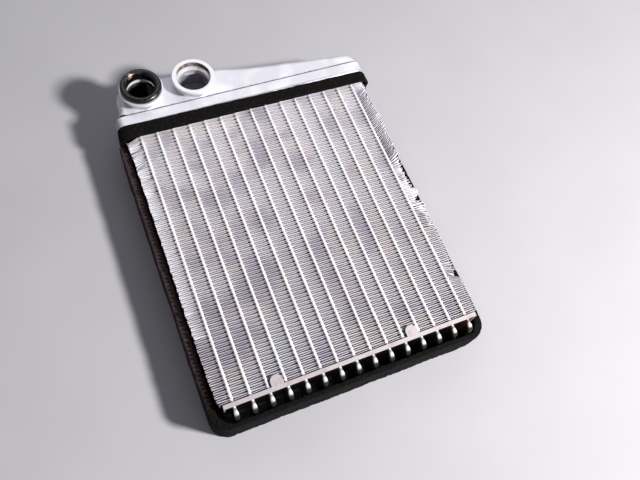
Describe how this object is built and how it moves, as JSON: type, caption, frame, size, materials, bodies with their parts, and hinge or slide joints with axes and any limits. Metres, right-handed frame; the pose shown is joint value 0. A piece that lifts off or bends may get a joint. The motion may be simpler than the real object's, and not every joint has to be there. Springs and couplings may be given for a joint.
{
  "type": "heater core",
  "caption": "Flat brazed aluminium heat exchanger: finned flat tubes below a tapered tank with two pipe sockets, a comb across the rounded tube ends, and foam sealing bands round its edges.",
  "frame": {"origin": "on the level that the foam bands rest on, at the middle of the part's outline seen from above", "axes": "+X across the tubes, away from the ports' end; +Y along the tubes, towards the tank; +Z out of the face that carries the ports"},
  "size_m": [0.1652, 0.219, 0.0405],
  "materials": {
    "tube_aluminium": "satin",
    "fin_foil": "satin",
    "comb_aluminium": "matte, with flux bloom",
    "tank_aluminium": "satin",
    "port_aluminium": "satin, corroded inside",
    "seal_rubber": "glossy, worn",
    "seal_foam": "open-pored, crumbling"
  },
  "bodies": {
    "root": {"tube_01": "tube_aluminium", "tube_02": "tube_aluminium", "tube_03": "tube_aluminium", "tube_04": "tube_aluminium", "tube_05": "tube_aluminium", "tube_06": "tube_aluminium", "tube_07": "tube_aluminium", "tube_08": "tube_aluminium", "tube_09": "tube_aluminium", "tube_10": "tube_aluminium", "tube_11": "tube_aluminium", "tube_12": "tube_aluminium", "tube_13": "tube_aluminium", "tube_14": "tube_aluminium", "tube_15": "tube_aluminium", "fin_01": "fin_foil", "fin_02": "fin_foil", "fin_03": "fin_foil", "fin_04": "fin_foil", "fin_05": "fin_foil", "fin_06": "fin_foil", "fin_07": "fin_foil", "fin_08": "fin_foil", "fin_09": "fin_foil", "fin_10": "fin_foil", "fin_11": "fin_foil", "fin_12": "fin_foil", "fin_13": "fin_foil", "fin_14": "fin_foil", "fin_15": "fin_foil", "fin_16": "fin_foil", "end_comb": "comb_aluminium", "header_plate": "tank_aluminium", "tank_cap": "tank_aluminium", "tank_divider": "tank_aluminium", "left_port": "port_aluminium", "right_port": "port_aluminium", "port_seal": "seal_rubber", "header_foam": "seal_foam", "edge_foam": "seal_foam"}
  },
  "joints": []
}
